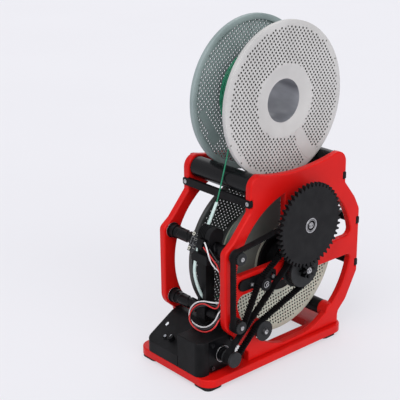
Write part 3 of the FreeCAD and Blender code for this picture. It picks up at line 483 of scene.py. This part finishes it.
filament_routes = {
    "upper_filament": [(-56.3, 348.5), (-85.6, 243.7), (-94.9, 218)],
    "lower_filament": [(-109.5, 92.6), (-61.1, 84.6), (-12.8, 76.6)],
}
for name, route in filament_routes.items():
    line = smooth_line(name + "_line", [point(filament_plane, y, z) for y, z in route])
    run = add_piece(name + "_run", tube(line, filament_radius / 1000, 12), green_filament, "carriage",
                    (name,))


# Perforated flanges. Within a flange, y and z are taken from its spool's centre.

flange_steps = 180
web_start = 45.4
bore_radius = 27.62
core_end = 28.9
hub_face = 29.42
hole_pitch = 4.68
hole_sides = 10
holes_from = 46.6
holes_to = 93.6
smallest_hole = 0.7


def in_polygon(y, z, corners):
    inside = False
    count = len(corners)
    for i in range(count):
        y0, z0 = corners[i]
        y1, z1 = corners[(i + 1) % count]
        if (z0 > z) != (z1 > z) and y < (y1 - y0) * (z - z0) / (z1 - z0) + y0:
            inside = not inside
    return inside


def hole_places(turn, shift, hole, plain=None):
    """A square lattice of holes (y, z, radius), turned and shifted, without those where plain is true."""
    holes = []
    reach = int(spool_radius / hole_pitch) + 2
    c = math.cos(math.radians(turn))
    s = math.sin(math.radians(turn))
    for i in range(-reach, reach + 1):
        for j in range(-reach, reach + 1):
            u = (i + shift[0]) * hole_pitch
            v = (j + shift[1]) * hole_pitch
            y = u * c - v * s
            z = u * s + v * c
            distance = math.hypot(y, z)
            size = min(hole, distance - holes_from, holes_to - distance)
            if size >= smallest_hole and not (plain and plain(y, z)):
                holes.append((y, z, size))
    return holes


def middle_of(flat, triangle):
    a, b, c = triangle
    return (flat[a].x + flat[b].x + flat[c].x) / 3, (flat[a].y + flat[b].y + flat[c].y) / 3


def perforated_disc(holes, rim):
    """A flat ring with holes: its points, its triangles, and the first point of each hole's outline."""
    outline = []
    edges = []

    def add_loop(y, z, radius, sides, shift):
        first = len(outline)
        for k in range(sides):
            angle = 2 * math.pi * (k + shift) / sides
            outline.append(Vector((y + radius * math.cos(angle), z + radius * math.sin(angle))))
            edges.append((first + k, first + (k + 1) % sides))
        return first

    add_loop(0, 0, rim, flange_steps, 0)
    add_loop(0, 0, web_start, flange_steps, 0)
    loops = [add_loop(y, z, size, hole_sides, 0.5) for y, z, size in holes]
    flat, _, triangles, _, _, _ = delaunay_2d_cdt(outline, edges, [], 0, 1e-5)
    cell = 4
    near = {}
    for y, z, size in holes:
        near.setdefault((round(y / cell), round(z / cell)), []).append((y, z, size))

    def is_solid(y, z):
        if math.hypot(y, z) < web_start - 0.05:
            return False
        for i in (-1, 0, 1):
            for j in (-1, 0, 1):
                for hole_y, hole_z, size in near.get((round(y / cell) + i, round(z / cell) + j), ()):
                    if math.hypot(y - hole_y, z - hole_z) < size * 0.96:
                        return False
        return True

    kept = [triangle for triangle in triangles if is_solid(*middle_of(flat, triangle))]
    return flat, kept, loops


def flange_piece(name, centre, side, holes, materials, body, replaced=(), web=1.5, rim=94.2, painted_shade_area=None):
    """A thin perforated web between a thick rim and a dished hub. side is 1 on the right and -1 on the left.
    The materials are those of the flange, of the holes' walls, whose colour is painted shade, and of a
    marked area, whose colour is painted shade too."""
    outer = side * flange_outer
    inner = side * (flange_outer - web)
    start = side * flange_inner
    flat, triangles, loops = perforated_disc(holes, rim)
    count = len(flat)
    vertices = [point(outer, centre[0] + p.x, centre[1] + p.y) for p in flat]
    vertices += [point(inner, centre[0] + p.x, centre[1] + p.y) for p in flat]
    faces = []
    tones = []
    # Faces in the marked area get the third material, a painted shade colour.
    for a, b, c in triangles:
        tones += [2 if painted_shade_area and painted_shade_area(*middle_of(flat, (a, b, c))) else 0] * 2
        if side < 0:
            b, c = c, b
        faces.append((a, b, c))
        faces.append((a + count, c + count, b + count))
    for first in loops:
        for k in range(hole_sides):
            a = first + k
            b = first + (k + 1) % hole_sides
            faces.append((a, b, b + count, a + count) if side < 0 else (b, a, a + count, b + count))
            tones.append(1)
    rim_profile = [
        (outer, rim), (outer, 99.0), (outer - side * 0.3, 99.7), (outer - side * 1.0, spool_radius),
        (start + side * 1.0, spool_radius), (start + side * 0.3, 99.7), (start, 99.0), (start, rim + 1.8),
        (start + side * 0.5, rim + 0.8), (inner - side * 0.6, rim + 0.3), (inner, rim),
    ]
    hub_profile = [
        (outer, web_start), (outer - side * 0.15, 44.6), (side * 29.9, 31.2), (side * 29.55, 29.6),
        (side * hub_face, 28.2), (side * hub_face, bore_radius), (side * core_end, bore_radius),
        (side * core_end, 45.0), (inner, web_start),
    ]
    rim_ring = turned(rim_profile, centre, flange_steps, closed=False)
    hub_ring = turned(hub_profile, centre, flange_steps, closed=False)
    if side > 0:
        rim_ring = turned_over(rim_ring)
    else:
        hub_ring = turned_over(hub_ring)
    for k in range(flange_steps):
        angle = 2 * math.pi * k / flange_steps
        in_painted_shade_area = painted_shade_area and painted_shade_area(math.cos(angle) * rim, math.sin(angle) * rim)
        tones += [2 if in_painted_shade_area else 0] * (len(rim_profile) - 1)
    shape = joined([(vertices, faces), rim_ring, hub_ring])
    flange = add_piece(name, shape, materials[0], body, replaced, sharp_angle=28)
    for material in materials[1:]:
        flange.data.materials.append(material)
    for face, tone in zip(flange.data.polygons, tones):
        face.material_index = tone


label_strip = [(19, -40), (29, -39), (46, -66), (59, -73), (52, -84), (38, -82), (21, -59), (17, -46)]
label_edge = [(27, -38.5), (38, -43.5), (58.5, -72), (57, -79), (48, -84), (38, -81.5), (21, -59), (18, -46),
              (21, -39.5), (27, -38.5)]
far_strip = [(-84, -14), (-76, -8), (-50, -54), (-62, -62)]


def near_plain(y, z):
    return in_polygon(y, z, label_strip)


def far_plain(y, z):
    return in_polygon(y, z, far_strip)


# The sector of the lower spool's near flange without holes, which is also coloured darker as painted shade.
def plain_shaded_sector(y, z):
    turn = math.degrees(math.atan2(z, y))
    return turn > 91 or turn < -174


flange_piece("feed_flange_near", feed_centre, 1, hole_places(33.2, (0.2, 0.3), 1.45, near_plain),
             (spool_near, hole_shade), "feed_spool", ("feed_spool_flanges",), web=3.0)
# The far flange carries the painted shade colour.
flange_piece("feed_flange_far", feed_centre, -1, hole_places(33.2, (0.4, 0.1), 1.3, far_plain),
             (spool_far_painted_shade, spool_painted_shade), "feed_spool", rim=91.8)
flange_piece("take_up_flange_near", take_up_centre, 1, hole_places(8, (0.1, 0.5), 1.4, plain_shaded_sector),
             (spool_low, spool_painted_shade, spool_low_painted_shade), "take_up_spool", ("take_up_flanges",), web=2.6,
             painted_shade_area=plain_shaded_sector)
# The lower spool's far flange is coloured all in painted shade.
flange_piece("take_up_flange_far", take_up_centre, -1, hole_places(20, (0.3, 0.2), 0.9),
             (spool_painted_shade, spool_painted_shade), "take_up_spool", web=0.8)

label_x = flange_outer + 0.02
label_line = smooth_line("label_line", [point(label_x, y, feed_centre[1] + z) for y, z in label_edge])
add_piece("feed_label_edge", tube(label_line, 0.0003, 8), spool_near, "feed_spool")
# Painted shade: thin dark discs on the near rim stand in for the shade inside four small holes.
rim_hole_shades = []
for y, z in ((70.9, 65.0), (87.9, 39.9), (-91.2, -38.5), (-74.3, -63.9)):
    rim_hole_shades.append(side_part(flange_outer, (y, feed_centre[1] + z),
                               [(0.0, 1.2), (0.12, 1.15), (0.16, 0.9), (0.1, 0.5), (0.1, 0)], 20))
add_piece("feed_rim_hole_shades", joined(rim_hole_shades), hole_shade, "feed_spool")


# Sensor board: metal rings round its screws, printed lines and small parts

board_top = Vector((-5.4, -118.3, 182.2))
board_down = (Vector((-5.4, -130.2, 159.6)) - board_top).normalized()
board_across = Vector((1, 0, 0))
board_out = board_down.cross(board_across)
board_length = 25.54
board_screw_x = 2.9
board_screw_inset = 3.4
line_width = 0.3
printed_frames = ((6.6, 1.2, 5.8, 9.4), (1.0, 7.4, 4.4, 10.6), (7.6, 12.4, 5.2, 8.6))
pad_rows = ((8.2, 4.0), (8.2, 8.0), (6.3, 10.6), (9.2, 16.5), (9.2, 20.5))
chip_places = ((2.2, 9.0, 2.0, 1.3), (2.2, 12.0, 2.0, 1.3), (2.2, 15.0, 2.0, 1.3), (11.6, 10.2, 1.2, 2.0))


def on_board(x, down, out):
    return board_top + board_across * x + board_down * down + board_out * out


def board_block(x, down, width, length, height, edge):
    """A block on the board, whose upper left corner is at x and down."""
    corner = on_board(x, down + length, 0.02)
    return raised_block(corner, board_across, -board_down, width, length, height, edge)


marks = []
metal = []
chips = []
for down in (board_screw_inset, board_length - board_screw_inset):
    screw_place = on_board(board_screw_x, down, 0.8)
    metal.append(round_part(screw_place, board_out, [
        (0, 1.2), (0, 2.45), (0.2, 2.45), (0.3, 2.3), (0.3, 1.4), (0.15, 1.2), (0, 1.2)], 28))
    chips.append(round_part(screw_place, board_out, [(0.02, 1.15), (0.1, 0.6), (0.1, 0)], 20))
for x, down, width, length in printed_frames:
    strokes = (
        (x, down, width, line_width),
        (x, down + length, width, line_width),
        (x, down, line_width, length),
        (x + width, down, line_width, length + line_width),
    )
    for stroke in strokes:
        marks.append(board_block(*stroke, height=0.08, edge=0.02))
for x, down in pad_rows:
    for i in range(3):
        metal.append(board_block(x + i, down, 0.6, 0.5, height=0.5, edge=0.1))
for x, down, width, length in chip_places:
    chips.append(board_block(x, down, width, length, height=0.7, edge=0.15))
add_piece("sensor_board_print", joined(marks), board_print, "carriage")
add_piece("sensor_board_metal", joined(metal), solder, "carriage")
add_piece("sensor_board_chips", joined(chips), black_smooth, "carriage")


# Traverse screws, with a groove that runs round both ways between x -42 and 42

screw_radius = 7.75
groove_end = 42
groove_pitch = 26.0
groove_half_width = 2.4
groove_flank = 0.8
groove_depth = 1.1


def groove_dip(x, turn):
    """How deep the crossed groove is, from 0 to 1, at x and a part of a turn."""
    dip = 0
    for way in (1, -1):
        off = abs((x / groove_pitch - way * turn + 0.5) % 1 - 0.5) * groove_pitch
        dip = max(dip, min(1, max(0, (groove_half_width - off) / groove_flank)))
    return dip * min(1, (groove_end - abs(x)) / 3)


def crossed_screw(name, centre, body):
    steps = 64
    slices = 210
    rings = [(-61, 3.6), (-60.6, 4), (-43, 4), (-43, 7.4), (-42.6, screw_radius)]
    rings += [(-groove_end + 2 * groove_end * i / slices, None) for i in range(slices + 1)]
    rings += [(42.6, screw_radius), (43, 7.4), (43, 4), (76.0, 4), (76.4, 3.6)]
    vertices = []
    faces = []
    for x, radius in rings:
        for k in range(steps):
            turn = k / steps
            here = screw_radius - groove_depth * groove_dip(x, turn) if radius is None else radius
            vertices.append(on_circle(x, centre, here, 2 * math.pi * turn))
    for i in range(len(rings) - 1):
        for k in range(steps):
            a = i * steps + k
            b = i * steps + (k + 1) % steps
            faces.append((a, b, b + steps, a + steps))
    faces.append(tuple(reversed(range(steps))))
    faces.append(tuple(range((len(rings) - 1) * steps, len(rings) * steps)))
    add_piece(name + "_grooved", (vertices, faces), black_smooth, body, (name,),
              sharp_angle=25)


crossed_screw("upper_traverse_screw", upper_screw, "upper_traverse")
crossed_screw("lower_traverse_screw", lower_screw, "lower_traverse")


# Small turned parts: washers of the bushes, bearing rings and seals, and the rims of screws

washer_profile = [(0, 9.0), (0, 10.1), (0.3, 10.2), (0.4, 10.1), (0.4, 9.0), (0, 9.0)]
washers = [side_part(-52.47, centre, washer_profile, 48) for centre in (upper_screw, lower_screw)]
add_piece("bush_washers", joined(washers), bright_steel, "frame")
add_piece("gear_bearing_seal", side_part(85.2, gear_centre, [
    (0.0, 4.4), (0.0, 6.5), (0.2, 6.5), (0.32, 6.1), (0.32, 4.9), (0.2, 4.4), (0.0, 4.4)], 48),
    black_smooth, "gear_unit")
bearing_races = []
for inner, outer in ((8.3, 9.7), (6.75, 7.4)):
    bearing_races.append(side_part(86.3, gear_centre, [
        (0, inner), (0, outer), (0.15, outer - 0.1), (0.15, inner + 0.1), (0, inner)], 60))
add_piece("gear_bearing_races", joined(bearing_races), bright_steel, "gear_unit")
add_piece("idler_screw_rim", side_part(80.2, drive_idler_centre, [
    (0, 3.1), (0, 4.42), (0.15, 4.3), (0.15, 3.2), (0, 3.1)], 40), black_smooth, "frame")
add_piece("arm_idler_bearing", side_part(77.2, arm_idler_centre, [
    (0, 3.3), (0, 4.3), (0.2, 4.3), (0.3, 4.1), (0.3, 3.5), (0.2, 3.3), (0, 3.3)], 40),
    bright_steel, "arm_idler_body")
add_piece("arm_pin_head", side_part(78.8, arm_idler_centre, [
    (0, 1.3), (0, 2.4), (0.25, 2.2), (0.25, 1.5), (0, 1.3)], 30), bright_steel, "tension_arm_body")
add_piece("motor_pilot_edge", side_part(56.4, motor_centre, [
    (0, 10.1), (0, 10.9), (0.12, 10.8), (0.12, 10.2), (0, 10.1)], 60), bright_steel, "frame")


# On the sloped panel: the button's collar and cap, and the knob's mark

panel_across = Vector((1, 0, 0))
panel_front = Vector((0, -163.4, 31.0))
panel_up = (Vector((0, -120.0, 57.1)) - panel_front).normalized()
panel_out = panel_across.cross(panel_up)
button_place = (-25.5, -151.0)
mark_place = (-14.4, -150.0)


def on_panel(x, y, out):
    height = panel_front.z + (y - panel_front.y) * panel_up.z / panel_up.y
    return Vector((x, y, height)) + panel_out * out


add_piece("button_collar", round_part(on_panel(*button_place, 0), panel_out, [
    (0.0, 2.9), (0.0, 4.4), (0.5, 4.4), (0.9, 4.0), (0.9, 3.2), (0.6, 2.9), (0.0, 2.9)], 48),
    black_smooth, "frame")
add_piece("button_cap", round_part(on_panel(*button_place, 2.2), panel_out, [
    (0.0, 2.05), (0.25, 2.0), (0.45, 1.6), (0.55, 0.8), (0.58, 0)], 32),
    button_grey, "button_body")
mark_corner = on_panel(*mark_place, 6.5) - panel_up * 0.4
add_piece("knob_mark", raised_block(mark_corner, panel_across, panel_up, 0.8, 3.6, 0.08, 0.02), board_print,
          "knob_body")


# Windings

winding_turns = 22
winding_pitch = 2.29
core_radius = 44.7


def wound_layer(centre, radius, wander, seed):
    """One layer of filament, whose turns wander a little to both sides."""
    steps = 44
    source = random.Random(seed)
    swings = [source.uniform(-wander, wander) for _ in range(winding_turns * 4 + 2)]
    line = []
    for i in range(winding_turns * steps + 1):
        angle = 2 * math.pi * i / steps
        spot = i * 4 / steps
        low = int(spot)
        high = min(low + 1, len(swings) - 1)
        swing = swings[low] * (1 - spot + low) + swings[high] * (spot - low)
        x = winding_pitch * i / steps - winding_turns * winding_pitch / 2 + swing
        line.append(on_circle(x, centre, radius, angle))
    return tube(line, filament_radius / 1000, 8)


def wound_body(centre, radius, half_width, pitch):
    """The turns under the outer layer: a ring with one rounded ridge for each turn."""
    profile = [(-half_width, core_radius), (-half_width, radius - 0.9)]
    count = int(2 * half_width / pitch)
    for i in range(count):
        for part, depth in ((0.06, 0.55), (0.25, 0.12), (0.5, 0.0), (0.75, 0.12), (0.94, 0.55)):
            profile.append((-half_width + (i + part) * 2 * half_width / count, radius - depth))
    profile += [(half_width, radius - 0.9), (half_width, core_radius)]
    return turned_over(turned(profile, centre, 96))


add_piece("feed_winding_turns", wound_layer(feed_centre, 57.2, 0.25, 3), green_filament, "feed_spool",
          ("feed_winding",))
# The turns under the outer layer carry a painted shade colour.
add_piece("feed_winding_under", wound_body(feed_centre, 56.3, 26.2, 1.8), green_painted_shade, "feed_spool",
          ("feed_winding_core",))
add_piece("take_up_winding_turns", wound_layer(take_up_centre, 45.6, 0.2, 5), green_filament,
          "take_up_spool", ("take_up_winding",))


# Floor and light

pale = (0.865, 0.858, 0.898, 1)
floor_reach = 9
floor_corners = [(x * floor_reach, y * floor_reach, 0) for x, y in ((-1, -1), (1, -1), (1, 1), (-1, 1))]
floor_mesh = bpy.data.meshes.new("floor")
floor_mesh.from_pydata(floor_corners, [], [(0, 1, 2, 3)])
floor = bpy.data.objects.new("floor", floor_mesh)
scene.collection.objects.link(floor)
floor.location.z = -0.0002
floor_material = surface("floor_paper", (0.80, 0.80, 0.84), (0.82, 0.82, 0.86), 0.8, specular=0.2, patches=2,
                         grain=400, grain_strength=0.02, grain_height=0.0002)
floor_mesh.materials.append(floor_material)


def seen_directly(tree, share):
    """share where the camera or a reflection sees the surface, and 0 where it only gives light."""
    path = tree.nodes.new("ShaderNodeLightPath")
    total = path.outputs["Is Camera Ray"]
    for ray in ("Is Glossy Ray", "Is Transmission Ray"):
        more = tree.nodes.new("ShaderNodeMath")
        more.operation = "MAXIMUM"
        tree.links.new(total, more.inputs[0])
        tree.links.new(path.outputs[ray], more.inputs[1])
        total = more.outputs[0]
    times = tree.nodes.new("ShaderNodeMath")
    times.operation = "MULTIPLY"
    tree.links.new(total, times.inputs[0])
    times.inputs[1].default_value = share
    return times.outputs[0]


def mix_in(tree, share, lit, seen, output):
    """Show seen instead of lit, by share, where the surface is looked at."""
    mixed = tree.nodes.new("ShaderNodeMixShader")
    tree.links.new(seen_directly(tree, share), mixed.inputs["Fac"])
    tree.links.new(lit, mixed.inputs[1])
    tree.links.new(seen, mixed.inputs[2])
    tree.links.new(mixed.outputs["Shader"], tree.nodes[output].inputs["Surface"])


def sun(name, place, strength, spread):
    data = bpy.data.lights.new(name, "SUN")
    data.energy = strength
    data.angle = math.radians(spread)
    light = bpy.data.objects.new(name, data)
    light.location = place
    light.rotation_euler = (-Vector(place)).to_track_quat("-Z", "Y").to_euler()
    scene.collection.objects.link(light)


floor_tree = floor_material.node_tree
glow = floor_tree.nodes.new("ShaderNodeEmission")
glow.inputs["Color"].default_value = pale
mix_in(floor_tree, 0.6, floor_tree.nodes["Principled BSDF"].outputs["BSDF"], glow.outputs["Emission"],
       "Material Output")

sun("key", (0.5, -1.5, 2.2), 1.1, 40)
sun("side", (2.2, -0.3, 1.2), 1.2, 50)
sun("back", (-1.2, 1.4, 2.0), 0.5, 50)

world = bpy.data.worlds.new("studio")
world.use_nodes = True
scene.world = world
world_tree = world.node_tree
background = world_tree.nodes["Background"]
background.inputs["Color"].default_value = (0.93, 0.94, 1.0, 1)
background.inputs["Strength"].default_value = 0.5
backdrop = world_tree.nodes.new("ShaderNodeBackground")
backdrop.inputs["Color"].default_value = pale
mix_in(world_tree, 1.0, background.outputs["Background"], backdrop.outputs["Background"], "World Output")
